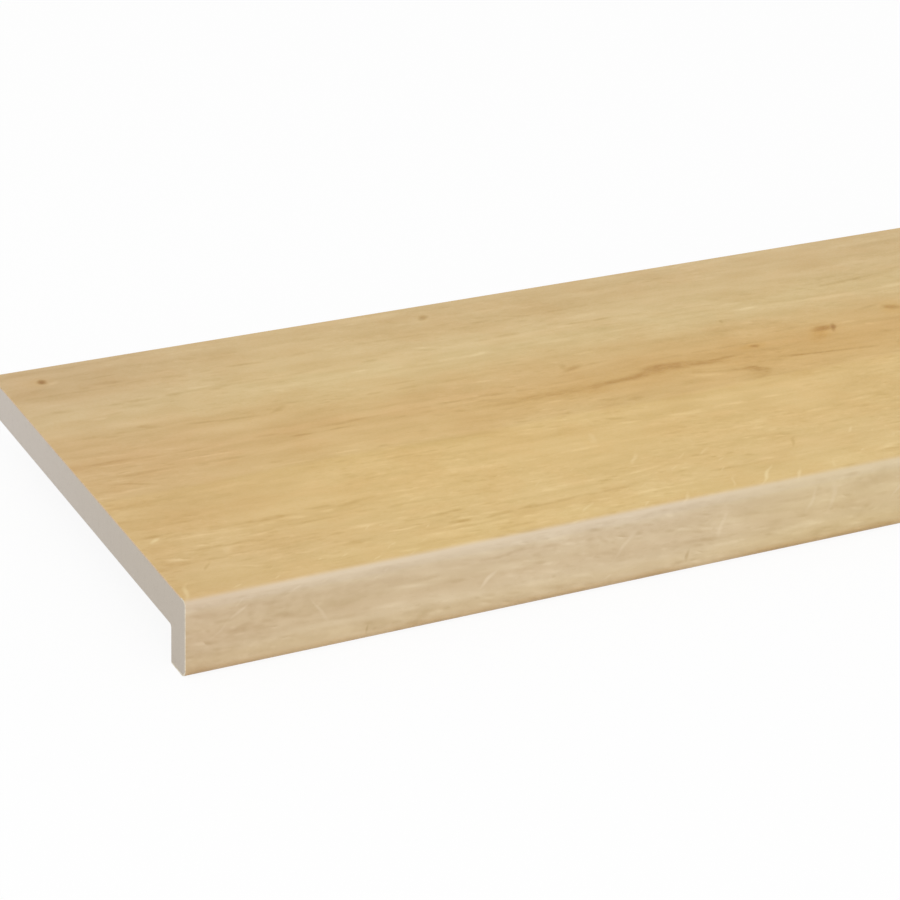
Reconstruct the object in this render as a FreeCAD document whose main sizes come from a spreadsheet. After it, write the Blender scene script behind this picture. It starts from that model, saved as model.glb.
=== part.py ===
import FreeCAD, Part
import Sketcher
import os

# Window sill board: an L-shaped core board with a drop nose along its front edge,
# and one decor laminate that is bent round the top, the front and the foot of the nose.
# Frame: +X along the board, +Y towards the window, +Z up. The origin is the middle of
# the footprint, at the level of the nose's foot.

DRIVING_SIZES = (
    ("board_length", 1000.0, "stock length"),
    ("board_depth", 250.0, "front face to rear edge"),
    ("board_thickness", 19.0, "plate with its laminate"),
    ("nose_height", 38.0, "top face to the foot of the nose"),
    ("nose_thickness", 16.0, "front face to the back of the nose"),
    ("front_radius", 3.0, "outside bend of the laminate at the top front edge"),
    ("foot_radius", 4.5, "outside bend of the laminate at the foot of the nose"),
    ("laminate_thickness", 0.8, "decor laminate"),
    ("inner_corner_radius", 1.5, "hollow corner where the nose meets the plate"),
    ("foot_chamfer", 0.4, "eased back edge of the nose's foot"),
)


def make_sheet(doc):
    """The driving dimensions, one row each, with an alias that the features are bound to."""
    sheet = doc.addObject("Spreadsheet::Sheet", "sizes")
    for row, (alias, value, note) in enumerate(DRIVING_SIZES, start=1):
        sheet.set(f"A{row}", alias)
        sheet.set(f"B{row}", str(value))
        sheet.set(f"C{row}", note)
        sheet.setAlias(f"B{row}", alias)
    doc.recompute()
    return sheet


def origin_plane(body, role):
    """One of a body's own origin planes, such as YZ_Plane."""
    return next(item for item in body.Origin.OriginFeatures if item.Role == role)


def section_sketch(body, name, corners):
    """A closed outline of straight runs in the YZ plane.

    Each corner is (y, z, y_expression, z_expression): where it is now, and the signed
    offset from the origin that its two dimensions are bound to.
    """
    sketch = body.newObject("Sketcher::SketchObject", name)
    sketch.AttachmentSupport = [(origin_plane(body, "YZ_Plane"), "")]
    sketch.MapMode = "FlatFace"
    points = [FreeCAD.Vector(y, z, 0) for y, z, _, _ in corners]
    count = len(points)
    for i in range(count):
        sketch.addGeometry(Part.LineSegment(points[i], points[(i + 1) % count]), False)
    for i in range(count):
        sketch.addConstraint(Sketcher.Constraint("Coincident", i, 2, (i + 1) % count, 1))
    for i, (y, z, y_expression, z_expression) in enumerate(corners):
        for kind, value, expression in (
            ("DistanceX", y, y_expression),
            ("DistanceY", z, z_expression),
        ):
            index = sketch.addConstraint(Sketcher.Constraint(kind, -1, 1, i, 1, value))
            sketch.setExpression(f"Constraints[{index}]", expression)
    return sketch


def pad_along_board(body, sketch, name):
    """The outline drawn out to the board's length, half to each side of the origin."""
    pad = body.newObject("PartDesign::Pad", name)
    pad.Profile = sketch
    pad.SideType = "Symmetric"
    pad.setExpression("Length", "sizes.board_length")
    return pad


def long_edge(shape, y, z):
    """The name of the straight edge that runs along the board through (y, z)."""
    for number, edge in enumerate(shape.Edges, start=1):
        ends = [vertex.Point for vertex in edge.Vertexes]
        if len(ends) == 2 and all(abs(p.y - y) < 1e-4 and abs(p.z - z) < 1e-4 for p in ends):
            return f"Edge{number}"
    raise ValueError(f"no edge along the board at y {y}, z {z}")


def dress_edge(body, base, kind, name, place, expression):
    """A Fillet or Chamfer, its size bound to the expression, on the long edge at (y, z)."""
    feature = body.newObject(f"PartDesign::{kind}", name)
    feature.Base = (base, [long_edge(base.Shape, *place)])
    feature.setExpression("Radius" if kind == "Fillet" else "Size", expression)
    body.Document.recompute()
    return feature


def make_core(doc, sheet):
    """The core board: plate and drop nose in one piece, inside the laminate."""
    front = -sheet.board_depth / 2 + sheet.laminate_thickness
    rear = sheet.board_depth / 2
    nose_back = -sheet.board_depth / 2 + sheet.nose_thickness
    top = sheet.nose_height - sheet.laminate_thickness
    underside = sheet.nose_height - sheet.board_thickness
    foot = sheet.laminate_thickness
    at_front = "-sizes.board_depth / 2 + sizes.laminate_thickness"
    at_rear = "sizes.board_depth / 2"
    at_nose_back = "-sizes.board_depth / 2 + sizes.nose_thickness"
    at_top = "sizes.nose_height - sizes.laminate_thickness"
    at_underside = "sizes.nose_height - sizes.board_thickness"
    at_foot = "sizes.laminate_thickness"

    body = doc.addObject("PartDesign::Body", "core_board")
    sketch = section_sketch(
        body,
        "core_section",
        [
            (front, foot, at_front, at_foot),
            (nose_back, foot, at_nose_back, at_foot),
            (nose_back, underside, at_nose_back, at_underside),
            (rear, underside, at_rear, at_underside),
            (rear, top, at_rear, at_top),
            (front, top, at_front, at_top),
        ],
    )
    pad = pad_along_board(body, sketch, "core_pad")
    doc.recompute()
    front_radius = "sizes.front_radius - sizes.laminate_thickness"
    foot_radius = "sizes.foot_radius - sizes.laminate_thickness"
    feature = dress_edge(body, pad, "Fillet", "core_front_bend", (front, top), front_radius)
    feature = dress_edge(body, feature, "Fillet", "core_foot_bend", (front, foot), foot_radius)
    dress_edge(
        body,
        feature,
        "Fillet",
        "core_inner_corner",
        (nose_back, underside),
        "sizes.inner_corner_radius",
    )
    return body


def make_laminate(doc, sheet):
    """The decor laminate: one sheet over the plate, down the nose and under its foot."""
    front = -sheet.board_depth / 2
    rear = sheet.board_depth / 2
    nose_back = front + sheet.nose_thickness
    top = sheet.nose_height
    thickness = sheet.laminate_thickness
    at_front = "-sizes.board_depth / 2"
    at_front_inside = "-sizes.board_depth / 2 + sizes.laminate_thickness"
    at_rear = "sizes.board_depth / 2"
    at_nose_back = "-sizes.board_depth / 2 + sizes.nose_thickness"
    at_top = "sizes.nose_height"
    at_top_inside = "sizes.nose_height - sizes.laminate_thickness"
    at_foot_inside = "sizes.laminate_thickness"

    body = doc.addObject("PartDesign::Body", "decor_laminate")
    sketch = section_sketch(
        body,
        "laminate_section",
        [
            (rear, top, at_rear, at_top),
            (front, top, at_front, at_top),
            (front, 0, at_front, "0 mm"),
            (nose_back, 0, at_nose_back, "0 mm"),
            (nose_back, thickness, at_nose_back, at_foot_inside),
            (front + thickness, thickness, at_front_inside, at_foot_inside),
            (front + thickness, top - thickness, at_front_inside, at_top_inside),
            (rear, top - thickness, at_rear, at_top_inside),
        ],
    )
    pad = pad_along_board(body, sketch, "laminate_pad")
    doc.recompute()
    inside = front + thickness
    bends = (
        ("front_bend_outside", (front, top), "sizes.front_radius"),
        ("foot_bend_outside", (front, 0), "sizes.foot_radius"),
        ("front_bend_inside", (inside, top - thickness), "sizes.front_radius - sizes.laminate_thickness"),
        ("foot_bend_inside", (inside, thickness), "sizes.foot_radius - sizes.laminate_thickness"),
    )
    feature = pad
    for name, place, radius in bends:
        feature = dress_edge(body, feature, "Fillet", name, place, radius)
    dress_edge(body, feature, "Chamfer", "foot_edge", (nose_back, 0), "sizes.foot_chamfer")
    return body


def check_and_export(doc, bodies):
    """Stops on any failed feature, then writes one STEP file for each sub-part."""
    for item in doc.Objects:
        if {"Invalid", "Error"} & set(item.State):
            raise RuntimeError(f"{item.Name} is {item.State}")
    os.makedirs("parts", exist_ok=True)
    for body in bodies:
        shape = body.Shape
        if shape.isNull() or not shape.isValid() or len(shape.Solids) != 1:
            raise RuntimeError(f"{body.Label} is not one valid solid")
        shape.exportStep(f"parts/{body.Label}.step")
        box = shape.BoundBox
        print(
            f"{body.Label}: {box.XLength:.1f} x {box.YLength:.1f} x {box.ZLength:.1f} mm,"
            f" {shape.Volume / 1000:.1f} cm3"
        )


def main():
    doc = FreeCAD.newDocument("window_sill_board")
    sheet = make_sheet(doc)
    bodies = [make_core(doc, sheet), make_laminate(doc, sheet)]
    doc.recompute()
    check_and_export(doc, bodies)


main()
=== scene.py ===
import math

import bmesh
import bpy
from mathutils import Matrix, Vector


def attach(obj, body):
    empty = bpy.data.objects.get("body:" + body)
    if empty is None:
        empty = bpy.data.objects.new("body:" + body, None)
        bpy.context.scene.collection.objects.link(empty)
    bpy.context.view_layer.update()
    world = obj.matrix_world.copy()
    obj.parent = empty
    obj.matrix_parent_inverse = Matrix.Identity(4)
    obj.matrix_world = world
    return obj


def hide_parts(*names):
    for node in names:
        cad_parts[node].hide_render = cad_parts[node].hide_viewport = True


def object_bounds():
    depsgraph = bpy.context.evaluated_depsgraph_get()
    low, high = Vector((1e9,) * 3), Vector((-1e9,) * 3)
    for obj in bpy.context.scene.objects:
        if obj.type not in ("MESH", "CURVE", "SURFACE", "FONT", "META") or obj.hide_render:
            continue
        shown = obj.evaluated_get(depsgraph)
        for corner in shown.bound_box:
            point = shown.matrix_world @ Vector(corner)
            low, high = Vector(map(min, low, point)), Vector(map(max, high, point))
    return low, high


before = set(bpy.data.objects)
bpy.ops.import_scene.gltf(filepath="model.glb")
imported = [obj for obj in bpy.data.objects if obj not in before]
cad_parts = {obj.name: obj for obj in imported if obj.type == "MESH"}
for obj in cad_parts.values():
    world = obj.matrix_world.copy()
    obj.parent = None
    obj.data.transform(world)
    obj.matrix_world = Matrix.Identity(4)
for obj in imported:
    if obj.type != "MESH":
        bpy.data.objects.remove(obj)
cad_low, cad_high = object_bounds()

# Sizes of the section in metres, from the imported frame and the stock's usual details
HALF_LENGTH = cad_high.x
FRONT = cad_low.y
REAR = cad_high.y
TOP = cad_high.z
PLATE = 0.019
NOSE = 0.016
LAMINATE = 0.0008
FRONT_BEND = 0.003
FOOT_BEND = 0.0045
INNER_CORNER = 0.0015
FOOT_EASE = 0.0004
END_ARRIS = 0.00012
BEND_STEPS = 20
SHARP_ANGLE = math.radians(28)
FAR = 1.0e6
SOFT_EDGE = 1.35
CURL = 3.0
FRONT_SLANT = 0.07
TOP_BALANCE = (1.0, 1.20, 1.50)
FRONT_BALANCE = (1.0, 1.16, 1.30)

# The print is divided into fields, in millimetres, so that each material holds few ovals
FIELD_X = (0.0, 180.0, 360.0, 540.0, 1000.0)
FIELD_V = (-60.0, 5.0, 125.0, 250.0)

NOSE_BACK = FRONT + NOSE
UNDERSIDE = TOP - PLATE

# Camera of the photograph
CAMERA_PLACE = Vector((-0.92378, -1.15443, 0.65227))
CAMERA_YAW = math.radians(28.026)
CAMERA_PITCH = math.radians(-25.854)
CAMERA_ROLL = math.radians(2.480)
CAMERA_LENS = 119.02
SENSOR = 36.0


def linear(red, green, blue):
    """A colour picked on a 0 to 255 screen scale, as linear RGBA."""
    def channel(value):
        value = value / 255.0
        if value <= 0.04045:
            return value / 12.92
        return ((value + 0.055) / 1.055) ** 2.4
    return (channel(red), channel(green), channel(blue), 1.0)


# Geometry

def arc(centre, radius, start, end, steps=BEND_STEPS):
    """Points on an arc in the YZ plane, angles in degrees from +Y towards +Z."""
    points = []
    for step in range(steps + 1):
        angle = math.radians(start + (end - start) * step / steps)
        points.append((centre[0] + radius * math.cos(angle), centre[1] + radius * math.sin(angle)))
    return points


def laminate_outline():
    front_centre = (FRONT + FRONT_BEND, TOP - FRONT_BEND)
    foot_centre = (FRONT + FOOT_BEND, FOOT_BEND)
    outline = [(REAR, TOP), (FRONT + FIELD_V[2] / 1000.0, TOP), (FRONT + FIELD_V[1] / 1000.0, TOP)]
    outline += arc(front_centre, FRONT_BEND, 90, 180)
    outline += arc(foot_centre, FOOT_BEND, 180, 270)
    outline += [(NOSE_BACK - FOOT_EASE, 0.0), (NOSE_BACK, FOOT_EASE), (NOSE_BACK, LAMINATE)]
    outline += arc(foot_centre, FOOT_BEND - LAMINATE, 270, 180)
    outline += arc(front_centre, FRONT_BEND - LAMINATE, 180, 90)
    outline += [(REAR, TOP - LAMINATE)]
    return outline


def core_outline():
    front_centre = (FRONT + FRONT_BEND, TOP - FRONT_BEND)
    foot_centre = (FRONT + FOOT_BEND, FOOT_BEND)
    corner_centre = (NOSE_BACK + INNER_CORNER, UNDERSIDE - INNER_CORNER)
    outline = [(REAR, TOP - LAMINATE)]
    outline += arc(front_centre, FRONT_BEND - LAMINATE, 90, 180)
    outline += arc(foot_centre, FOOT_BEND - LAMINATE, 180, 270)
    outline += [(NOSE_BACK, LAMINATE)]
    outline += arc(corner_centre, INNER_CORNER, 180, 90, 8)
    outline += [(REAR, UNDERSIDE)]
    return outline


def inset(outline, distance):
    """The closed outline moved in by distance, each corner along its mitre."""
    count = len(outline)
    moved = []
    for i in range(count):
        before = Vector(outline[i - 1])
        here = Vector(outline[i])
        after = Vector(outline[(i + 1) % count])
        first = (here - before).normalized()
        second = (after - here).normalized()
        normal_a = Vector((-first.y, first.x))
        normal_b = Vector((-second.y, second.x))
        mitre = (normal_a + normal_b).normalized()
        reach = distance / max(0.5, mitre.dot(normal_a))
        moved.append(tuple(here + mitre * reach))
    return moved


def extrusion(name, outline, cuts=()):
    """The outline drawn out along X, with a fine arris round both cut ends."""
    inner = inset(outline, END_ARRIS)
    sections = [(-HALF_LENGTH, inner), (-HALF_LENGTH + END_ARRIS, outline)]
    sections += [(cut / 1000.0 - HALF_LENGTH, outline) for cut in cuts]
    sections += [(HALF_LENGTH - END_ARRIS, outline), (HALF_LENGTH, inner)]
    mesh = bpy.data.meshes.new(name)
    work = bmesh.new()
    rings = [[work.verts.new((x, y, z)) for y, z in points] for x, points in sections]
    count = len(outline)
    for left, right in zip(rings, rings[1:]):
        for i in range(count):
            j = (i + 1) % count
            work.faces.new((left[i], left[j], right[j], right[i]))
    work.faces.new(rings[0])
    work.faces.new(rings[-1])
    bmesh.ops.recalc_face_normals(work, faces=work.faces)
    for face in work.faces:
        face.smooth = True
    for edge in work.edges:
        if edge.calc_face_angle(0.0) > SHARP_ANGLE:
            edge.smooth = False
    work.to_mesh(mesh)
    work.free()
    piece = bpy.data.objects.new(name, mesh)
    bpy.context.scene.collection.objects.link(piece)
    return piece


# Material nodes

class Graph:
    """Short calls that add shader nodes to one material or world."""

    def __init__(self, owner):
        owner.use_nodes = True
        self.tree = owner.node_tree
        self.tree.nodes.clear()

    def node(self, kind, **settings):
        made = self.tree.nodes.new(kind)
        for key, value in settings.items():
            setattr(made, key, value)
        return made

    def link(self, value, socket):
        if isinstance(value, bpy.types.NodeSocket):
            self.tree.links.new(value, socket)
        else:
            socket.default_value = value

    def math(self, operation, a, b=0.0, c=None, clamp=False):
        made = self.node("ShaderNodeMath", operation=operation, use_clamp=clamp)
        self.link(a, made.inputs[0])
        self.link(b, made.inputs[1])
        if c is not None:
            self.link(c, made.inputs[2])
        return made.outputs[0]

    def add(self, a, b):
        return self.math("ADD", a, b)

    def sub(self, a, b):
        return self.math("SUBTRACT", a, b)

    def mul(self, a, b):
        return self.math("MULTIPLY", a, b)

    def remap(self, value, low, high, to_low=0.0, to_high=1.0):
        made = self.node("ShaderNodeMapRange", interpolation_type="SMOOTHSTEP")
        for number, item in enumerate((value, low, high, to_low, to_high)):
            self.link(item, made.inputs[number])
        return made.outputs[0]

    def vector(self, x, y, z=0.0):
        made = self.node("ShaderNodeCombineXYZ")
        for number, item in enumerate((x, y, z)):
            self.link(item, made.inputs[number])
        return made.outputs[0]

    def flat_noise(self, x, v, along, across, seed, detail=1.0):
        """2-D noise with this many turns per unit along x and across v."""
        made = self.node("ShaderNodeTexNoise", noise_dimensions="2D")
        place_x = self.math("MULTIPLY_ADD", x, along, seed * 13.0)
        place_v = self.math("MULTIPLY_ADD", v, across, seed * 7.0)
        self.link(self.vector(place_x, place_v), made.inputs["Vector"])
        made.inputs["Scale"].default_value = 1.0
        made.inputs["Detail"].default_value = detail
        made.inputs["Roughness"].default_value = 0.5
        return made.outputs["Fac"]

    def noise(self, x, y, z=0.0, detail=2.0, roughness=0.5):
        made = self.node("ShaderNodeTexNoise", noise_dimensions="3D")
        self.link(self.vector(x, y, z), made.inputs["Vector"])
        made.inputs["Scale"].default_value = 1.0
        made.inputs["Detail"].default_value = detail
        made.inputs["Roughness"].default_value = roughness
        return made.outputs["Fac"]

    def mix(self, factor, a, b, blend="MIX"):
        made = self.node("ShaderNodeMix", data_type="RGBA", blend_type=blend)
        self.link(factor, made.inputs[0])
        self.link(a, made.inputs[6])
        self.link(b, made.inputs[7])
        return made.outputs[2]

    def ramp(self, factor, stops):
        made = self.node("ShaderNodeValToRGB")
        elements = made.color_ramp.elements
        while len(elements) < len(stops):
            elements.new(0.5)
        for element, (place, colour) in zip(elements, stops):
            element.position = place
            element.color = colour
        self.link(factor, made.inputs[0])
        return made.outputs[0]

    def bell(self, offset, width):
        """1 where the offset is 0, falling off smoothly over the width."""
        ratio = self.math("DIVIDE", offset, width)
        return self.math("EXPONENT", self.mul(self.mul(ratio, ratio), -1.0))


def material(name):
    made = bpy.data.materials.new(name)
    return made, Graph(made)


def balance_colour(shares):
    return tuple(share / 255.0 for share in shares)


PLAIN_BALANCE = balance_colour(TOP_BALANCE)


# The decor's grain, in millimetres: x from the left end, v from the front edge
# towards the rear, and below 0 down the front face. Tones are steps out of 255
# on a screen, and the darker ones are below 0.

TOP_BANDS = (
    (0, (216, 183, 117)),
    (9, (216, 184, 117)),
    (24, (217, 185, 120)),
    (40, (215, 182, 115)),
    (62, (217, 183, 115)),
    (90, (217, 183, 115)),
    (102, (215, 181, 112)),
    (106, (211, 176, 110)),
    (137, (208, 171, 106)),
    (162, (209, 176, 113)),
    (187, (212, 184, 125)),
    (206, (212, 183, 126)),
    (222, (206, 175, 117)),
    (250, (207, 177, 122)),
)
# The front face's colours: the print's own, made paler and greyer than the top by a painted sheen, with a painted
# highlight in the palest rows from -6 up to the bend, and darker down at the foot's bend.
FRONT_BANDS_WITH_SHEEN = (
    (-36, (180, 148, 100)),
    (-34.6, (197, 170, 128)),
    (-33, (204, 181, 143)),
    (-30, (206, 184, 146)),
    (-25, (203, 181, 145)),
    (-21.5, (201, 178, 142)),
    (-18, (202, 179, 143)),
    (-15, (204, 182, 146)),
    (-8, (203, 181, 147)),
    (-6, (207, 187, 154)),
    (-4, (208, 189, 160)),
    (0, (211, 193, 166)),
)

# Noise layers of the grain: turns per mm along and across, seed, darkest and lightest tone
STREAK_LAYERS = (
    (0.008, 0.10, 1.7, -4.4, 3.0),
    (0.030, 0.15, 6.1, -3.6, 2.8),
    (0.030, 0.06, 2.2, -3.0, 2.2),
)
DASH_LAYER = (0.17, 0.28, 5.2, -1.6, 1.4)
FIBRE_LAYER = (0.60, 1.0, 9.4, -0.3, 0.3)
FRONT_MOTTLE = (0.045, 0.13, 4.4, -3.8, 2.8)

# Short dashes scattered over the print: cell along and across in mm, seed, half length, half width, tone
SHORT_DASHES = (
    (14.0, 4.4, 310.0, 4.2, 1.20, 11.0),
    (10.0, 3.4, 470.0, 2.8, 0.90, 8.5),
)

# Each table below holds ovals: x, v, half length, half width, slant in degrees, amount

# Small knots, by tone
KNOTS = (
    (20, 234.5, 3.4, 2.6, 30, -48),
    (230, 236, 3.8, 2.3, 35, -24),
    (419.8, 145.4, 8.0, 3.7, 0, -27),
    (425.6, 144.3, 6.0, 1.7, 62, -32),
    (470, 156.5, 5.2, 2.8, -20, -22),
    (373.5, 139, 2.8, 2.1, 20, -23),
    (374, 172.5, 2.8, 1.2, 55, -14),
    (272, 150.3, 6.8, 2.9, 22, -20),
    (268, 154, 3.4, 2.2, 70, -10),
    (612, 88, 4.0, 2.6, 20, -24),
    (705, 206, 4.6, 2.4, -15, -26),
    (846, 132, 6.4, 2.8, 10, -26),
    (850, 130, 5.0, 1.5, 60, -20),
    (931, 52, 3.6, 2.4, 25, -22),
)

# Warm patches round the knots and along the heart
WARM = (
    (18, 234, 9, 6, 0, 0.14),
    (414, 140, 13, 7, 48, 0.34),
    (470, 155, 11, 8, 40, 0.34),
    (372, 139, 10, 4, 0, 0.26),
    (400, 131, 150, 36, 0, 0.32),
    (245, 124, 70, 14, 2, 0.14),
    (612, 88, 14, 6, 0, 0.25),
    (846, 132, 24, 9, 0, 0.34),
    (840, 126, 150, 30, 0, 0.28),
)

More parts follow.
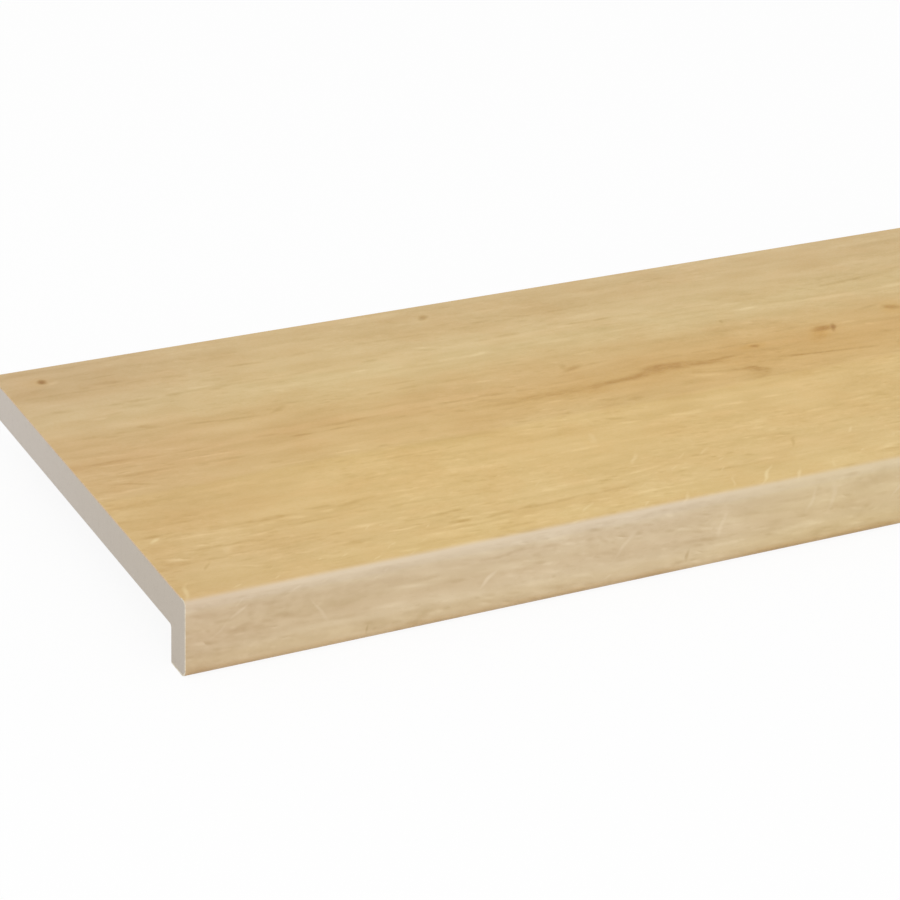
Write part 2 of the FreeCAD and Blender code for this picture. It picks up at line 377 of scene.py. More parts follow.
# Strokes of the grain and of the heart streak, by tone: first the broad soft ones
STROKES = (
    (36, 128, 60, 26, 0, 5),
    (15, 80, 50, 24, 0, -4),
    (160, 80, 44, 9, 0, -5),
    (165, 145, 40, 9, 0, 5),
    (300, 96, 90, 7, 0, 5),
    (330, 129, 110, 17, 0, -4),
    (60, 176, 28, 10, 0, 6),
    (445, 200, 90, 14, 0, -5),
    (345, 161, 60, 8, 0, -4),
    (395, 81, 30, 9, 0, -6),
    (10, 14, 26, 12, 0, -4),
    (254, 126, 24, 5.0, 0, -10),
    (278, 127.6, 10, 3.5, 8, -13),
    (286, 128.4, 12, 3.6, 8, -7),
    (294, 129, 14, 3.6, 8, -9),
    (308, 131, 19, 5.6, 3, -12),
    (324, 133, 17, 4.2, -4, -15),
    (310, 136.2, 9, 2.0, 4, -14),
    (321, 136.2, 9, 1.6, -5, -9),
    (341, 130.5, 11, 2.8, -6, -14),
    (351, 132.6, 11, 1.9, 4, -14),
    (366, 127.5, 12, 1.2, -10, -6),
    (350, 117.3, 13, 2.7, -10, -14),
    (359.5, 114.2, 6.4, 3.6, -20, -15),
    (363, 110.5, 2.6, 4.5, 0, -8),
    (354, 106, 10, 2.4, 12, -7),
    (356, 110, 8.5, 4.6, 0, -8),
    (330, 122.3, 11, 1.1, -14, -6),
    (387, 121.8, 11, 1.8, -12, -14),
    (399, 119.8, 9, 1.7, -8, -11),
    (410, 119, 11, 1.7, -6, -14),
    (427, 116.2, 10, 1.6, -12, -11),
    (413, 140.5, 10, 5, 48, -6),
    (397, 150.3, 9, 1.3, -3, -9),
    (381, 132, 4, 2.4, -10, -7),
    (448, 130.8, 4, 1.8, -22, -8),
    (458, 160, 9, 1.5, 12, -10),
    (440, 170.5, 4, 1.8, 0, -7),
    (447, 116, 4, 1.2, 50, -8),
    (270, 111, 5, 1.6, -15, -9),
    (283, 107, 4.5, 2.6, 10, -13),
    (320, 113, 10, 3.5, 0, -5),
    (335, 160, 22, 5, 0, -4),
    (366, 163, 9, 7, 50, -5),
    (286, 151, 9, 1.4, 0, -9),
    (286, 165, 6, 1.2, -3, 7),
    (329, 118.6, 11, 2.0, -18, 8),
    (340, 125, 14, 1.5, -8, 6),
    (435, 147, 5, 1.8, 0, 7),
    (447, 142, 4, 1.5, -10, 8),
    (196, 126.5, 5, 1.6, -8, -9),
    (186, 126, 4, 1.5, -25, -7),
    (222, 125, 7, 2.0, 0, -7),
    (237, 127.5, 10, 2.5, 5, -7),
    (215, 137.2, 16, 1.6, -2, -10),
    (195, 138.2, 8, 1.2, -4, -9),
    (212, 132, 17, 1.0, -2, -9),
    (245, 118.3, 9, 1.3, 0, 9),
    (222, 153, 7, 1.4, -6, 9),
    (141, 136.6, 17, 1.5, 1, -13),
    (98, 136.5, 6, 1.6, 0, -10),
    (115, 131, 7, 1.1, 0, -10),
    (131, 131.3, 8, 1.1, 2, -11),
    (18, 138.2, 12, 1.4, -2, -11),
    (38, 136.8, 10, 1.3, -2, -8),
    (58, 136, 9, 1.2, 0, -10),
    (28, 122.6, 20, 1.8, -3, -12),
    (58.5, 120.3, 4.5, 2.0, 0, -8),
    (73, 121.2, 11, 1.7, 0, -11),
    (20, 112.8, 12, 1.2, -17, -13),
    (20, 135, 13, 1.0, -2, 9),
    (62, 127.5, 20, 1.1, 0, 8),
    (16, 107, 13, 1.5, 0, 9),
    (15, 118.5, 7, 1.1, -5, 7),
    (126, 107, 8, 1.2, 0, 8),
    (100, 104.7, 12, 1.1, 0, 7),
    (170, 112, 4, 5.0, 0, -6),
    (143, 105.5, 5, 2.0, 25, -7),
    (90, 109, 3, 1.6, -20, -7),
    (78, 161.5, 11, 1.4, -12, -11),
    (95, 159.3, 12, 1.2, 0, -10),
    (115, 161.5, 6, 1.8, 25, -12),
    (95, 164.5, 22, 4.0, 0, -6),
    (146, 161.5, 7, 1.2, -15, -8),
    (30, 163.5, 6, 1.3, -8, -8),
    (48, 168.5, 4, 1.8, 0, -8),
    (182, 167.3, 11, 1.1, -4, -8),
    (246, 168, 9, 1.4, 3, -6),
    (48, 229, 11, 1.3, 0, -7),
    (37, 219.5, 5, 1.6, 0, -8),
    (51, 221, 8, 2.0, -5, -8),
    (123, 216.5, 11, 1.2, -6, -8),
    (60, 228, 80, 13, 0, -2),
    (24, 231, 4, 1.5, 25, 8),
    (17, 197.5, 6, 1.6, -10, -8),
    (45, 196, 5, 1.4, 0, -8),
    (98, 196, 5, 1.4, 0, -9),
    (122, 196.5, 5, 1.4, 0, -8),
    (143, 196.5, 7, 1.4, 0, -7),
    (181, 197, 4, 1.5, 0, -10),
    (245, 198.5, 4, 1.3, 0, -7),
    (262, 199, 9, 1.5, 0, -10),
    (303, 199.5, 7, 1.7, -8, -10),
    (317, 199.5, 6, 1.4, 0, -9),
    (74, 195.5, 5, 2.5, 0, -11),
    (58, 197, 6, 1.8, -5, -9),
    (215, 198.5, 6, 1.9, -10, -10),
    (257, 220, 8, 1.4, 5, -7),
    (277, 219, 6, 1.2, -20, -7),
    (470, 196, 22, 1.8, 5, -12),
    (32, 183.5, 5, 1.4, -5, 9),
    (90, 200, 8, 1.4, 0, 8),
    (125, 181, 5, 2.0, -20, 8),
    (170, 187, 5, 1.3, 0, 10),
    (237, 184, 7, 1.6, 10, 8),
    (280, 184, 13, 1.6, 3, 6),
    (213, 202.3, 6, 1.5, -10, 9),
    (395, 183, 8, 2.4, 5, 11),
    (440, 180.5, 26, 2.6, -3, 9),
    (487, 181.5, 13, 3.5, 0, 8),
    (360, 236, 6, 1.6, 0, 8),
    (10, 61, 5, 1.3, 0, -11),
    (66, 57.3, 12, 1.5, -3, -10),
    (105, 57.6, 7, 1.5, 2, -11),
    (12, 33.5, 7, 2.2, -5, -10),
    (68, 30, 14, 2.2, 0, -8),
    (142, 32, 9, 1.4, 0, -10),
    (92, 21.6, 9, 1.4, 0, -12),
    (145, 23, 7, 1.7, 0, -11),
    (178, 24, 5, 1.6, 20, -9),
    (20.5, 26, 3.5, 1.1, 55, -12),
    (45, 92, 45, 9.0, 0, -5),
    (30, 72, 32, 4.0, -3, -4),
    (262, 90.5, 7, 1.6, -18, -10),
    (225, 32.8, 5, 1.2, 0, -10),
    (282, 23.3, 8, 1.2, 0, -9),
    (330, 35, 6, 1.0, 52, -11),
    (372, 88, 4, 1.6, 0, -8),
    (385, 57, 14, 1.6, 0, -7),
    (76, 54, 8, 1.6, -3, 9),
    (28, 54.5, 9, 1.2, -3, 8),
    (12, 37, 7, 1.4, -15, 9),
    (35, 37, 3.5, 3.5, 0, 8),
    (101, 35, 6, 1.8, -8, 9),
    (115, 25.2, 8, 1.1, 0, 10),
    (40, 20, 6, 1.4, -22, 8),
    (150, 19, 10, 2.0, 0, 7),
    (110, 6.5, 7, 1.4, 0, 9),
    (265, 84, 7, 1.5, -3, 10),
    (300, 82, 10, 1.6, -8, 9),
    (347, 83.5, 6, 1.8, 0, 9),
    (387, 65, 12, 1.6, 4, 11),
    (245, 35.5, 11, 1.4, 5, 9),
    (235, 15, 14, 1.6, 8, 9),
    (370, 14, 12, 1.7, 10, 9),
    (308, 24, 6, 1.8, 0, 10),
    (62, -12, 48, 7, 0, -9),
    (80, -4, 60, 5, 0, -5),
    (186, -18, 18, 5, 0, 6),
    (165, -10, 24, 4, 0, -4),
    (290, -19, 80, 8, 0, 5),
    (300, -29, 55, 5, 0, 8),
    (90, -31, 60, 4.5, 0, -8),
    (125, -24.5, 24, 4, 0, 5),
    (50, -26, 30, 5, 0, -5),
    (118, -18, 18, 3, 0, -5),
    (325, -9, 26, 5, 0, 5),
    (45, -15.5, 8, 1.5, -2, -7),
    (30, -19, 14, 2.4, -4, -6),
    (75, -23, 12, 1.5, -3, -6),
    (114, -12.5, 11, 1.3, 0, -9),
    (131, -17, 6, 1.3, -8, -8),
    (112, -30, 5, 4.0, 0, -5),
    (153, -8.6, 13, 1.1, 0, -8),
    (206, -11.5, 4, 1.4, -40, -8),
    (187, -32, 6, 2.0, 0, -7),
    (86, -32, 0.8, 2.4, 0, -12),
    (252, -29, 1.1, 3.0, 0, -15),
    (246, -32, 4, 1.6, 0, -9),
    (262, -22.6, 14, 1.3, -2, -8),
    (310, -10.6, 13, 1.3, 0, -8),
    (298, -21, 6, 2.5, 0, -7),
    (325, -31, 11, 3.0, 8, -10),
    (62, -25.5, 18, 2.2, 0, 5),
    (108, -15, 12, 1.3, -6, 7),
    (98, -22, 9, 1.3, 0, 6),
    (170, -26.5, 12, 1.6, -6, 6),
    (275, -27, 10, 1.3, 2, 6),
    (310, -26, 20, 1.6, 2, 6),
    (610, 128, 60, 2.6, 2, -11),
    (742, 118, 52, 2.0, -2, -12),
    (880, 138, 50, 2.6, 4, -12),
    (812, 127, 26, 3.4, 5, -13),
    (700, 60, 44, 1.3, 1, -9),
    (930, 198, 48, 1.5, -1, -9),
    (660, 183, 70, 2.4, -1, 10),
    (800, 76, 60, 1.9, 2, 9),
    (640, -17, 24, 2.2, -3, -8),
    (820, -24, 30, 1.8, 0, 7),
)

# Rows along the board that the grain breaks into dashes, by tone
ROWS = (
    (120, 217, 290, 1.5, 0, -7),
    (110, 197.5, 108, 1.6, 0, -5),
    (330, 199, 105, 1.5, 0, -6),
    (30, 166, 40, 1.7, 0, -9),
    (175, 161, 60, 1.4, 0, -8),
    (230, 137, 80, 1.6, 0, -7),
    (165, 131.5, 85, 1.4, 0, -6),
    (230, 104.2, 90, 1.9, 0, -7),
    (345, 144, 50, 1.3, -1, -8),
    (155, 92, 55, 1.1, 0, -9),
    (70, 58.5, 75, 1.6, 0, -11),
    (105, 47.5, 80, 1.5, 0, -9),
    (30, 42.3, 40, 1.3, 0, -9),
    (100, 32, 105, 1.6, 0, -9),
    (180, 22.8, 150, 1.5, 0, -12),
    (150, 9.5, 60, 1.6, 0, -6),
    (90, 54, 75, 1.7, 0, 9),
    (60, 46, 45, 1.2, 0, 7),
    (215, 66, 48, 1.8, 0, 8),
    (335, 60.5, 45, 1.5, 1, 8),
    (310, 83, 70, 1.6, 0, 8),
    (240, 184, 100, 2.0, 0, 6),
    (150, 25.6, 55, 1.2, 0, 8),
    (180, 16, 120, 2.0, 0, 7),
    (180, 35, 105, 1.7, 0, 6),
    (700, 197, 220, 1.6, 0, -10),
    (720, 150, 180, 1.6, -1, -11),
    (790, 104, 230, 1.7, 0, -11),
    (640, 58, 170, 1.5, 0, -9),
    (760, 27, 260, 1.5, 0, -10),
    (800, 84, 180, 1.7, 0, 8),
    (860, 172, 160, 1.8, 0, 8),
    (560, 41, 150, 1.6, 0, 8),
    (880, 226, 140, 1.5, 0, -8),
)

# Bright flecks where growth rays meet the surface, by strength
FLECKS = (
    (9, 57.5, 3.4, 1.3, 40, 0.75),
    (4, 8, 8.5, 1.3, 66, 0.60),
    (203, 12.5, 6.5, 1.1, 38, 0.45),
    (191, 1.5, 3.0, 1.0, 15, 0.45),
    (249, 48, 6.5, 1.3, 52, 0.50),
    (284, 42.5, 5.0, 0.8, 38, 0.45),
    (271, 42, 4.0, 0.7, 42, 0.30),
    (297.5, 9, 10.5, 1.2, 48, 0.85),
    (313.5, 4, 5.8, 1.3, 57, 0.72),
    (280, 9, 6.5, 0.8, 50, 0.40),
    (250, 3.5, 6.0, 1.0, 46, 0.55),
    (241, 75, 6.5, 2.0, 72, 0.30),
    (363, 36, 4.5, 0.9, 42, 0.50),
    (335, 7, 5.0, 0.9, 55, 0.30),
    (24.5, -10, 4.8, 0.9, 30, 0.60),
    (15, -17, 6.0, 0.9, 40, 0.30),
    (63.5, -17.5, 7.0, 0.9, -58, 0.45),
    (146.5, -19.5, 5.6, 1.1, 44, 0.95),
    (217.5, -16, 9.0, 1.3, 50, 0.50),
    (270, -16, 8.0, 1.5, 74, 0.52),
    (318.5, -13, 7.0, 1.4, 72, 0.42),
    (330.5, -13, 9.0, 1.8, 86, 0.42),
    (370, -14, 8.0, 1.1, 60, 0.60),
    (415, -20, 7.0, 1.0, 48, 0.60),
    (560, 22, 6.0, 0.9, 46, 0.60),
    (655, 9, 7.0, 0.9, 52, 0.70),
    (742, 31, 5.0, 0.9, 44, 0.55),
    (868, 14, 8.0, 1.0, 50, 0.75),
    (604, -15, 6.0, 0.9, 54, 0.60),
    (775, -20, 7.0, 1.0, 60, 0.50),
)


def reaching(ovals, field):
    """The ovals that reach into a field, which is its lowest and highest x and v."""
    low_x, high_x, low_v, high_v = field
    kept = []
    for oval in ovals:
        x, v, half_long, half_wide, slant, _ = oval
        cosine = math.cos(math.radians(slant))
        sine = math.sin(math.radians(slant))
        wide = SOFT_EDGE * math.hypot(half_long * cosine, half_wide * sine) + CURL
        tall = SOFT_EDGE * math.hypot(half_long * sine, half_wide * cosine) + CURL
        if low_x - wide < x < high_x + wide and low_v - tall < v < high_v + tall:
            kept.append(oval)
    return kept


def grain_places(g):
    """x and v in millimetres: v runs on round the front bend as the sheet does."""
    place = g.node("ShaderNodeTexCoord")
    split = g.node("ShaderNodeSeparateXYZ")
    g.link(place.outputs["Object"], split.inputs[0])
    x = g.math("MULTIPLY_ADD", split.outputs[0], 1000.0, 1000.0 * HALF_LENGTH)
    height = g.math("MULTIPLY_ADD", split.outputs[2], 1000.0, -1000.0 * TOP)
    v = g.math("MULTIPLY_ADD", split.outputs[1], 1000.0, -1000.0 * FRONT)
    return x, g.add(v, height)


def swing(g, x, v, along, across, seed, amount, detail=0.0):
    """Noise that runs from minus to plus half the amount."""
    return g.mul(g.sub(g.flat_noise(x, v, along, across, seed, detail), 0.5), amount)


def add_ovals(g, x, v, ovals, total=0.0):
    """The total with each oval's amount added, soft towards the oval's edge.

    The total so far is a third coordinate that is scaled away. It only makes the
    ovals wait for one another, because a shader can't hold them all at once.
    """
    for middle_x, middle_v, half_long, half_wide, slant, amount in ovals:
        made = g.node("ShaderNodeMapping", vector_type="TEXTURE")
        g.link(g.vector(x, v, total), made.inputs["Vector"])
        made.inputs["Location"].default_value = (middle_x, middle_v, 0.0)
        made.inputs["Rotation"].default_value = (0.0, 0.0, math.radians(slant))
        made.inputs["Scale"].default_value = (half_long, half_wide, FAR)
        reach = g.node("ShaderNodeVectorMath", operation="LENGTH")
        g.link(made.outputs[0], reach.inputs[0])
        total = g.add(total, g.remap(reach.outputs["Value"], SOFT_EDGE, 0.1, 0.0, amount))
    return total


def layer_tone(g, noise, darkest, lightest):
    dark = g.remap(noise, 0.5, 0.78, 0.0, darkest)
    return g.add(dark, g.remap(noise, 0.5, 0.22, 0.0, lightest))


def grain_tone(g, x, v, on_front):
    """The tone of the grain's noise, and the noises that its embossing follows."""
    wander = swing(g, x, v, 0.009, 0.02, 3.1, 7.0)
    ripple = swing(g, x, v, 0.06, 0.10, 6.2, 1.8)
    bent = g.add(g.add(v, wander), ripple)
    near_heart = g.mul(g.bell(g.sub(x, 313.0), 32.0), g.bell(g.sub(v, 132.0), 24.0))
    bent = g.sub(bent, g.mul(near_heart, 6.0))
    if on_front is not None:
        bent = g.add(bent, g.mul(g.mul(g.sub(x, 260.0), FRONT_SLANT), on_front))

    tone = 0.0
    for along, across, seed, darkest, lightest in STREAK_LAYERS:
        noise = g.flat_noise(x, bent, along, across, seed)
        tone = g.add(tone, layer_tone(g, noise, darkest, lightest))
    busy = g.remap(g.flat_noise(x, v, 0.013, 0.022, 4.8, 0.0), 0.34, 0.64, 0.45, 1.3)
    along, across, seed, darkest, lightest = DASH_LAYER
    dashes = g.flat_noise(x, bent, along, across, seed)
    fine = layer_tone(g, dashes, darkest, lightest)
    along, across, seed, darkest, lightest = FIBRE_LAYER
    fibres = g.flat_noise(x, bent, along, across, seed)
    fine = g.add(fine, layer_tone(g, fibres, darkest, lightest))
    busy = g.mul(busy, g.remap(v, 50.0, 200.0, 1.05, 0.68))
    fine = g.mul(g.add(fine, short_dashes(g, x, bent)), busy)
    if on_front is not None:
        along, across, seed, darkest, lightest = FRONT_MOTTLE
        mottle = layer_tone(g, g.flat_noise(x, bent, along, across, seed), darkest, lightest)
        tone = g.add(tone, g.mul(mottle, on_front))
        fine = g.mul(fine, g.add(g.mul(on_front, 0.25), 1.0))
    return g.add(tone, fine), dashes, fibres


def scattered(g, x, v, cell_x, cell_v, seed):
    """Offsets from the nearest of many scattered points, and a random colour for it."""
    made = g.node("ShaderNodeTexVoronoi", voronoi_dimensions="2D", feature="F1")
    where = g.vector(g.math("DIVIDE", x, cell_x), g.math("DIVIDE", g.add(v, seed), cell_v))
    g.link(where, made.inputs["Vector"])
    made.inputs["Scale"].default_value = 1.0
    spot = g.node("ShaderNodeSeparateXYZ")
    g.link(made.outputs["Position"], spot.inputs[0])
    dx = g.sub(x, g.mul(spot.outputs[0], cell_x))
    dv = g.sub(g.add(v, seed), g.mul(spot.outputs[1], cell_v))
    chance = g.node("ShaderNodeSeparateColor")
    g.link(made.outputs["Color"], chance.inputs[0])
    return dx, dv, chance.outputs


def short_dashes(g, x, v):
    """The tone of short dashes along the grain, each darker or lighter by chance."""
    tone = 0.0
    for cell_x, cell_v, seed, half_long, half_wide, most in SHORT_DASHES:
        dx, dv, chance = scattered(g, x, v, cell_x, cell_v, seed)
        along = g.math("DIVIDE", dx, g.add(g.mul(chance[0], half_long), half_long * 0.5))
        across = g.math("DIVIDE", g.add(dv, g.mul(dx, 0.05)), half_wide)
        reach = g.math("SQRT", g.add(g.mul(along, along), g.mul(across, across)))
        each = g.mul(g.sub(chance[1], 0.55), most)
        tone = g.add(tone, g.mul(g.remap(reach, SOFT_EDGE, 0.1), each))
    return tone


def pores(g, x, v):
    """Short dark dashes along the grain."""
    dx, dv, chance = scattered(g, x, v, 8.0, 1.6, 340.0)
    along = g.math("DIVIDE", dx, g.add(g.mul(chance[0], 1.6), 0.6))
    across = g.math("DIVIDE", dv, 0.22)
    reach = g.math("SQRT", g.add(g.mul(along, along), g.mul(across, across)))
    shown = g.remap(chance[1], 0.45, 0.75)
    return g.mul(g.remap(reach, 1.3, 0.3), shown)


def small_flecks(g, x, v):
    """Short bright slanting dashes where the growth rays come to the surface."""
    dx, dv, chance = scattered(g, x, v, 13.0, 9.0, 300.0)
    rise = g.add(g.mul(chance[0], 0.7), 0.55)
    along = g.add(g.mul(dx, 0.77), g.mul(dv, 0.64))
    across = g.sub(g.mul(dv, 0.77), g.mul(g.mul(dx, 0.64), rise))
    along = g.math("DIVIDE", along, g.add(g.mul(chance[2], 2.4), 1.2))
    across = g.math("DIVIDE", across, 0.6)
    reach = g.math("SQRT", g.add(g.mul(along, along), g.mul(across, across)))
    shown = g.remap(chance[1], 0.62, 0.80)
    patch = g.remap(g.flat_noise(x, v, 0.012, 0.02, 6.6, 0.0), 0.46, 0.62)
    near_front = g.remap(v, 110.0, 20.0)
    return g.mul(g.mul(g.remap(reach, 1.3, 0.2), shown), g.mul(patch, near_front))


def shader(g, colour, roughness, bump_height, bump_distance, bump_strength):
    surface = g.node("ShaderNodeBsdfPrincipled")
    g.link(colour, surface.inputs["Base Color"])
    g.link(roughness, surface.inputs["Roughness"])
    bump = g.node("ShaderNodeBump")
    bump.inputs["Distance"].default_value = bump_distance
    bump.inputs["Strength"].default_value = bump_strength
    g.link(bump_height, bump.inputs["Height"])
    g.link(bump.outputs[0], surface.inputs["Normal"])
    output = g.node("ShaderNodeOutputMaterial")
    g.link(surface.outputs[0], output.inputs["Surface"])
    return surface


def banded(g, v, bands):
    low = bands[0][0]
    span = bands[-1][0] - low
    stops = [((place - low) / span, linear(*colour)) for place, colour in bands]
    return g.ramp(g.math("DIVIDE", g.sub(v, low), span), stops)


def base_colour(g, x, v, edge):
    """The ground colour of the print, before its grain, and on the front its painted sheen and painted highlight.
    """
    soft_v = g.add(v, swing(g, x, v, 0.008, 0.02, 8.1, 12.0))
    colour = banded(g, soft_v, TOP_BANDS)
    reddish = g.remap(x, 160.0, 0.0, 0.0, 0.55)
    colour = g.mix(reddish, colour, linear(241, 238, 255), "MULTIPLY")
    tint = g.remap(g.flat_noise(x, v, 0.035, 0.055, 5.8), 0.42, 0.66, 0.0, 0.5)
    colour = g.mix(tint, colour, linear(255, 250, 245), "MULTIPLY")
    if edge is not None:
        sway = g.mul(swing(g, x, v, 0.03, 0.05, 6.6, 2.0), g.remap(v, 0.0, -8.0))
        # The front's ground colour, with its painted sheen and the painted highlight below the bend.
        front = banded(g, g.add(v, sway), FRONT_BANDS_WITH_SHEEN)
        front = g.mix(g.remap(x, 230.0, 340.0), front, linear(255, 253, 239), "MULTIPLY")
        front = g.mix(g.remap(x, 60.0, 0.0), front, linear(246, 242, 240), "MULTIPLY")
        colour = g.mix(edge, colour, front)
    return colour


def toned(g, colour, tone, balance=PLAIN_BALANCE):
    """The colour with its screen values moved by the tone, each as much as the balance says."""
    screen = g.node("ShaderNodeGamma")
    g.link(colour, screen.inputs["Color"])
    screen.inputs["Gamma"].default_value = 1.0 / 2.2
    moved = g.node("ShaderNodeVectorMath", operation="MULTIPLY_ADD")
    g.link(tone, moved.inputs[0])
    g.link(balance, moved.inputs[1])
    g.link(screen.outputs[0], moved.inputs[2])
    back = g.node("ShaderNodeGamma")
    g.link(moved.outputs[0], back.inputs["Color"])
    back.inputs["Gamma"].default_value = 2.2
    return back.outputs[0]


def print_material(name, field):
    """The oak print, with the ovals that reach into one field of the sheet."""
    made, g = material(name)
    x, v = grain_places(g)
    has_front = field[2] < 0.0
    on_front = g.remap(v, 1.0, -2.0) if has_front else None
    # The edge mask rises from the top onto the front: it blends in the front's colour with its painted sheen and
    # painted highlight.
    edge = g.remap(v, 4.0, -0.8) if has_front else None
    tone, dashes, fibres = grain_tone(g, x, v, on_front)
    curl_x = g.add(x, swing(g, x, v, 0.09, 0.12, 2.7, 4.0))
    curl_v = g.add(v, swing(g, x, v, 0.05, 0.10, 7.9, 2.4))
    strokes = add_ovals(g, curl_x, curl_v, reaching(STROKES, field))
    ragged = g.remap(dashes, 0.35, 0.65, 0.86, 1.14)
    row_v = g.add(v, swing(g, x, v, 0.014, 0.01, 7.1, 3.0))
    rows = add_ovals(g, x, row_v, reaching(ROWS, field))
    knots = add_ovals(g, curl_x, curl_v, reaching(KNOTS, field))
    breaks = g.remap(g.flat_noise(x, v, 0.085, 0.15, 3.3), 0.36, 0.66)
    tone = g.add(tone, g.add(g.mul(strokes, ragged), g.mul(rows, breaks)))
    tone = g.add(tone, knots)
    pits = pores(g, x, v)
    tone = g.sub(tone, g.mul(pits, 3.0))
    if has_front:
        # Painted highlight: the grain's tone fades out along the front bend, as if washed out by the reflection
        # painted there.
        tone = g.mul(tone, g.sub(1.0, g.mul(g.bell(g.add(v, 0.5), 1.6), 0.8)))

    colour = base_colour(g, x, v, edge)
    warm = add_ovals(g, curl_x, curl_v, reaching(WARM, field))
    colour = g.mix(warm, colour, linear(206, 156, 60))
    balance = PLAIN_BALANCE
    if has_front:
        balance = g.mix(edge, PLAIN_BALANCE + (1.0,), balance_colour(FRONT_BALANCE) + (1.0,))
    colour = toned(g, colour, tone, balance)
    flecks = add_ovals(g, curl_x, curl_v, reaching(FLECKS, field), g.mul(small_flecks(g, x, v), 0.4))
    fleck_colour = linear(243, 224, 172)
    if has_front:
        flecks = g.mul(flecks, g.remap(v, 1.0, -3.0, 1.0, 0.8))
        fleck_colour = g.mix(edge, fleck_colour, linear(232, 216, 188))
    colour = g.mix(g.math("MINIMUM", g.mul(flecks, 0.5), 0.8), colour, fleck_colour)

    roughness = g.remap(fibres, 0.3, 0.7, 0.42, 0.52)
    roughness = g.add(roughness, g.mul(pits, 0.12))
    height = g.sub(g.add(g.mul(fibres, 0.5), g.mul(dashes, 0.5)), g.mul(pits, 0.6))
    shader(g, colour, roughness, height, 0.00005, 0.6)
    return made


def cut_edge_material():
    """The sheet's sawn edges: its decor layer and brown paper core, seen edge on."""
    made, g = material("laminate_cut_edge")
    x, v = grain_places(g)
    fuzz = g.flat_noise(x, v, 1.1, 1.7, 5.5, 2.0)
    colour = g.mix(g.remap(v, 3.0, 6.0), linear(214, 205, 186), linear(208, 180, 142))
    colour = toned(g, colour, layer_tone(g, fuzz, -14.0, 9.0))
    shader(g, colour, g.remap(fuzz, 0.3, 0.7, 0.55, 0.68), fuzz, 0.00004, 0.5)
    return made


def end_mask(g):
    """1 on the cut ends, 0 elsewhere."""
    shape = g.node("ShaderNodeNewGeometry")
    split = g.node("ShaderNodeSeparateXYZ")
    g.link(shape.outputs["Normal"], split.inputs[0])
    return g.remap(g.math("ABSOLUTE", split.outputs[0]), 0.4, 0.6)


def core_material():
    made, g = material("core_composite")
    place = g.node("ShaderNodeTexCoord")
    split = g.node("ShaderNodeSeparateXYZ")
    g.link(place.outputs["Object"], split.inputs[0])
    x, y, z = (g.mul(socket, 1000.0) for socket in split.outputs)
    speckle = g.noise(g.mul(x, 1.4), g.mul(y, 1.4), g.mul(z, 1.4), 3.0, 0.6)
    chips = g.noise(g.mul(x, 0.25), g.mul(y, 0.25), g.mul(z, 0.4), 2.0, 0.5)
    sanding = g.noise(g.mul(x, 0.02), g.mul(y, 2.2), g.mul(z, 2.2), 2.0, 0.5)
    cut = g.noise(g.mul(y, 1.1), g.mul(z, 0.06), 4.0, 2.0, 0.6)
    on_end = end_mask(g)
    along = g.remap(y, -125.0, 125.0)
    colour = g.mix(along, linear(188, 178, 165), linear(197, 188, 178))
    tone = g.mix(on_end, sanding, cut)
    dark = g.mul(g.remap(speckle, 0.5, 0.8), 0.16)
    dark = g.add(dark, g.mul(g.remap(chips, 0.5, 0.8), 0.08))
    dark = g.add(dark, g.mul(g.remap(tone, 0.5, 0.8), 0.08))
    colour = g.mix(dark, colour, linear(140, 126, 108))
    colour = g.mix(g.mul(g.remap(speckle, 0.5, 0.22), 0.14), colour, linear(222, 214, 203))
    height = g.add(g.mul(speckle, 0.5), g.mul(tone, 0.5))
    shader(g, colour, g.remap(speckle, 0.3, 0.7, 0.68, 0.80), height, 0.00006, 0.5)
    return made


# Surroundings

def floor_and_world():
    mesh = bpy.data.meshes.new("floor")
    side = 12.0
    mesh.from_pydata([(-side, -side, 0), (side, -side, 0), (side, side, 0), (-side, side, 0)], [], [(0, 1, 2, 3)])
    floor = bpy.data.objects.new("floor", mesh)
    bpy.context.scene.collection.objects.link(floor)
    made, g = material("floor_white")
    lit = g.node("ShaderNodeBsdfDiffuse")
    lit.inputs["Color"].default_value = (0.93, 0.93, 0.93, 1.0)
    clear = g.node("ShaderNodeEmission")
    clear.inputs["Strength"].default_value = 1.0
    path = g.node("ShaderNodeLightPath")
    seen = g.math("MAXIMUM", path.outputs["Is Camera Ray"], path.outputs["Is Glossy Ray"])
    seen = g.math("MAXIMUM", seen, path.outputs["Is Transmission Ray"])
    blend = g.node("ShaderNodeMixShader")
    g.link(g.mul(seen, 0.91), blend.inputs[0])
    g.link(lit.outputs[0], blend.inputs[1])
    g.link(clear.outputs[0], blend.inputs[2])
    output = g.node("ShaderNodeOutputMaterial")
    g.link(blend.outputs[0], output.inputs["Surface"])
    mesh.materials.append(made)

    world = bpy.data.worlds.new("studio")
    bpy.context.scene.world = world
    g = Graph(world)
    path = g.node("ShaderNodeLightPath")
    seen = g.math("MAXIMUM", path.outputs["Is Camera Ray"], path.outputs["Is Glossy Ray"])
    seen = g.math("MAXIMUM", seen, path.outputs["Is Transmission Ray"])
    sky = g.node("ShaderNodeBackground")
    sky.inputs["Color"].default_value = (1.0, 1.0, 1.0, 1.0)
    g.link(g.remap(seen, 0.0, 1.0, 0.78, 1.0), sky.inputs["Strength"])
    output = g.node("ShaderNodeOutputWorld")
    g.link(sky.outputs[0], output.inputs["Surface"])


def soft_lamp(name, place, size, power):
    lamp = bpy.data.lights.new(name, "AREA")
    lamp.shape = "SQUARE"
    lamp.size = size
    lamp.energy = power
    holder = bpy.data.objects.new(name, lamp)
    holder.location = place
    holder.rotation_euler = (-Vector(place)).to_track_quat("-Z", "Y").to_euler()
    bpy.context.scene.collection.objects.link(holder)


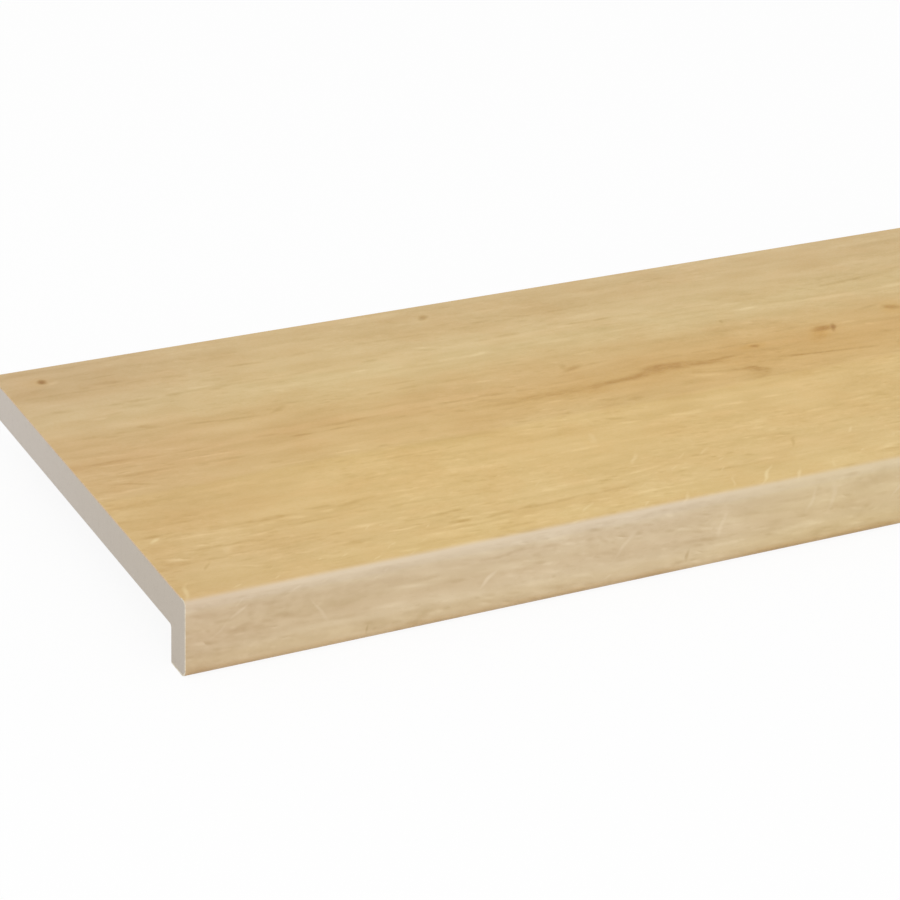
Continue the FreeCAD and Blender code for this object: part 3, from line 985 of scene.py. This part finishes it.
def photo_camera():
    """The photograph's camera: place, turn and lens fitted to the board's edges."""
    forward = Vector((
        math.sin(CAMERA_YAW) * math.cos(CAMERA_PITCH),
        math.cos(CAMERA_YAW) * math.cos(CAMERA_PITCH),
        math.sin(CAMERA_PITCH),
    ))
    level = Vector((math.cos(CAMERA_YAW), -math.sin(CAMERA_YAW), 0.0))
    upright = level.cross(forward)
    right = level * math.cos(CAMERA_ROLL) + upright * math.sin(CAMERA_ROLL)
    up = upright * math.cos(CAMERA_ROLL) - level * math.sin(CAMERA_ROLL)
    data = bpy.data.cameras.new("photo_camera")
    data.lens = CAMERA_LENS
    data.sensor_width = SENSOR
    data.clip_end = 100.0
    camera = bpy.data.objects.new("photo_camera", data)
    turn = Matrix((right, up, -forward)).transposed().to_4x4()
    camera.matrix_world = Matrix.Translation(CAMERA_PLACE) @ turn
    bpy.context.scene.collection.objects.link(camera)
    bpy.context.scene.camera = camera


def print_fields():
    """Every field of the print as its lowest and highest x and v."""
    spans_x = list(zip(FIELD_X, FIELD_X[1:]))
    spans_v = list(zip(FIELD_V, FIELD_V[1:]))
    return [(low_x, high_x, low_v, high_v) for low_v, high_v in spans_v for low_x, high_x in spans_x]


def is_printed(face):
    """True for the outer side of the laminate's top, bends, front and foot."""
    middle = face.center
    on_top = face.normal.z > 0.99 and middle.z > TOP - LAMINATE / 2
    on_foot = face.normal.z < -0.99 and middle.z < LAMINATE / 2
    in_front = face.normal.y < -0.01 and abs(face.normal.x) < 0.1
    return on_top or on_foot or in_front


def finish_laminate(piece):
    """One print material for each field, and the cut edge's for the rest."""
    fields = print_fields()
    for number, field in enumerate(fields):
        piece.data.materials.append(print_material(f"oak_print_{number}", field))
    piece.data.materials.append(cut_edge_material())
    for face in piece.data.polygons:
        face.material_index = len(fields)
        if is_printed(face):
            x = 1000.0 * (face.center.x + HALF_LENGTH)
            v = 1000.0 * (face.center.y - FRONT + face.center.z - TOP)
            for number, (low_x, high_x, low_v, high_v) in enumerate(fields):
                if low_x <= x <= high_x and low_v <= v <= high_v:
                    face.material_index = number


def place_piece(piece, node):
    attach(piece, "root")
    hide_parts(node)


def make_board():
    laminate = extrusion("sill_laminate", laminate_outline(), FIELD_X[1:-1])
    finish_laminate(laminate)
    place_piece(laminate, "decor_laminate")
    core = extrusion("sill_core", core_outline())
    core.data.materials.append(core_material())
    place_piece(core, "core_board")


bpy.context.scene.view_settings.view_transform = "Standard"
make_board()
floor_and_world()
soft_lamp("key", (-1.2, -1.6, 2.6), 2.4, 20.0)
soft_lamp("fill", (-2.0, -2.6, 0.9), 1.8, 18.0)
photo_camera()
